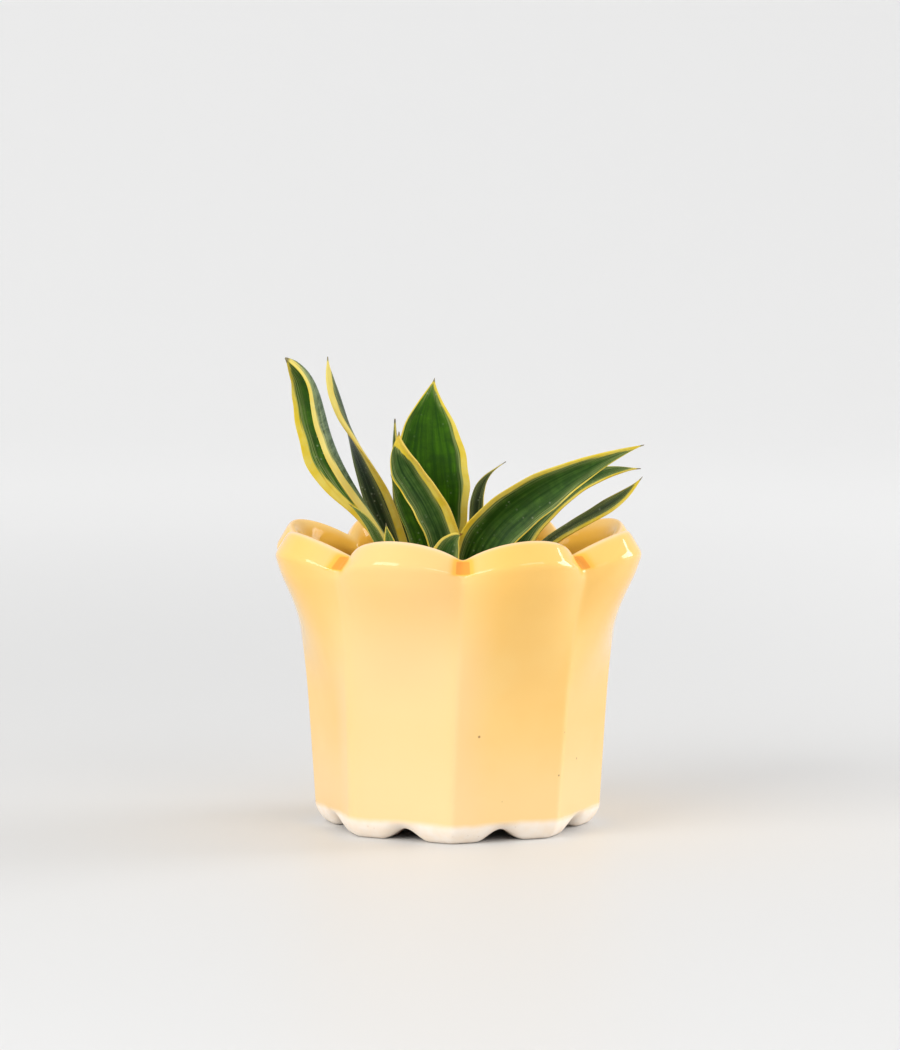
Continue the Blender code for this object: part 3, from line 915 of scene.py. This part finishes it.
scatter("peat_crumbs", 900, 0.35, 1.1, (1.0, 0.9, 0.75), peat, 0.2)
scatter("bark_chips", 110, 0.9, 2.2, (1.5, 0.8, 0.32), bark, 0.7)
scatter("perlite_grains", 90, 0.5, 1.2, (1.0, 0.9, 0.85), perlite, 0.45)

# %% [markdown]
# ## Floor, light and camera
#
# The plant stands on a pale studio sweep: a floor that curves up into a wall all round, with no
# corner to cast a line. The paper glows a little, but only away from the plant, so the backdrop is
# bright and the hollows under the foot stay dark. A large softbox at the front left gives the
# shape, one low at the right lights the edge, a long one at the front right lifts the shaded side,
# and the world fills the shadows. The camera looks slightly down.

# %% Studio sweep
FLOOR_RADIUS = 1.5
SWEEP_OUT = 1.6             # half axes of the ellipse
SWEEP_UP = 1.9
SWEEP_ROWS = 24             # of the floor, and again of the curve
SWEEP_COLUMNS = 96
BLACK, WHITE = (0.0, 0.0, 0.0), (1.0, 1.0, 1.0)


def sweep_mesh():
    """A flat disc, then a quarter of an ellipse up to the wall, spun round the middle."""
    flat = np.linspace(0.02, FLOOR_RADIUS, SWEEP_ROWS)
    angle = np.linspace(0, np.pi / 2, SWEEP_ROWS)[1:]
    radius = np.concatenate([flat, FLOOR_RADIUS + SWEEP_OUT * np.sin(angle)])
    height = np.concatenate([flat * 0, SWEEP_UP * (1 - np.cos(angle))])
    turn = np.linspace(0, 2 * np.pi, SWEEP_COLUMNS + 1)[:-1]
    x, y = radius[:, None] * np.cos(turn), radius[:, None] * np.sin(turn)
    points = np.stack([x, y, np.broadcast_to(height[:, None], x.shape)], axis=-1)
    rows, columns = x.shape
    faces = [face[::-1] for face in grid_faces(rows, columns)]
    faces += fan_faces(0, columns, rows * columns, outward=True)
    return make_mesh("studio_sweep", np.vstack([points.reshape(-1, 3), (0, 0, 0)]), faces)


def paper():
    """Pale paper with a soft sheen, which glows away from the middle."""
    r = Recipe("pale_paper")
    where = r.position()
    soft = r.noise(where, 2.5, 2)
    floor = r.blend(soft, (0.71, 0.71, 0.71), (0.73, 0.73, 0.73))
    away = r.vector_math("LENGTH", where, output="Value")
    return r.finish(
        Base_Color=r.blend(away.smooth(0.2, 1.7), floor, (0.77, 0.77, 0.77)),
        Roughness=0.45 + 0.08 * soft,
        Specular_IOR_Level=0.3,
        Emission_Color=r.blend(away.smooth(0.15, 1.2), BLACK, WHITE),
        Emission_Strength=0.19,
    )


sweep = sweep_mesh()
sweep.data.materials.append(paper())

# %% Lights
def softbox(name, spot, aim, size, power, tint):
    """A rectangular area light at spot that points at aim. Its size is in metres."""
    data = bpy.data.lights.new(name, "AREA")
    data.shape = "RECTANGLE"
    data.size, data.size_y = size
    data.energy = power
    data.color = tint
    lamp = bpy.data.objects.new(name, data)
    bpy.context.collection.objects.link(lamp)
    away = np.array(spot) - np.array(aim)
    tilt = math.atan2(math.hypot(away[0], away[1]), away[2])
    lamp.location = spot
    lamp.rotation_euler = (tilt, 0, math.atan2(away[1], away[0]) + math.pi / 2)
    print(f"{name}: {power} W")


softbox("key_softbox", (-1.0, -0.9, 0.80), (0, 0, 0.06), (1.1, 0.6), 12.0, (1.0, 0.99, 0.965))
softbox("edge_softbox", (1.05, 0.30, 0.38), (0, 0, 0.05), (0.5, 0.5), 6.0, WHITE)
softbox("right_softbox", (0.75, -0.85, 0.75), (0, 0, 0.06), (0.9, 0.25), 2.2, WHITE)
world = bpy.data.worlds.new("studio_fill")
world.use_nodes = True
fill = world.node_tree.nodes["Background"].inputs
fill["Color"].default_value = (*WHITE, 1.0)
fill["Strength"].default_value = 0.70
bpy.context.scene.world = world
bpy.context.scene.view_settings.view_transform = "Standard"

# %% Camera
CAMERA_SPOT = (-0.0021, -1.10, 0.190)
LOOK_DOWN = 5.44            # in degrees
camera_data = bpy.data.cameras.new("camera")
camera_data.lens = 133.3
camera_data.sensor_width = 36.0
camera_data.clip_start = 0.05
camera = bpy.data.objects.new("camera", camera_data)
bpy.context.collection.objects.link(camera)
camera.location = CAMERA_SPOT
camera.rotation_euler = (math.radians(90 - LOOK_DOWN), 0, 0)
bpy.context.scene.camera = camera
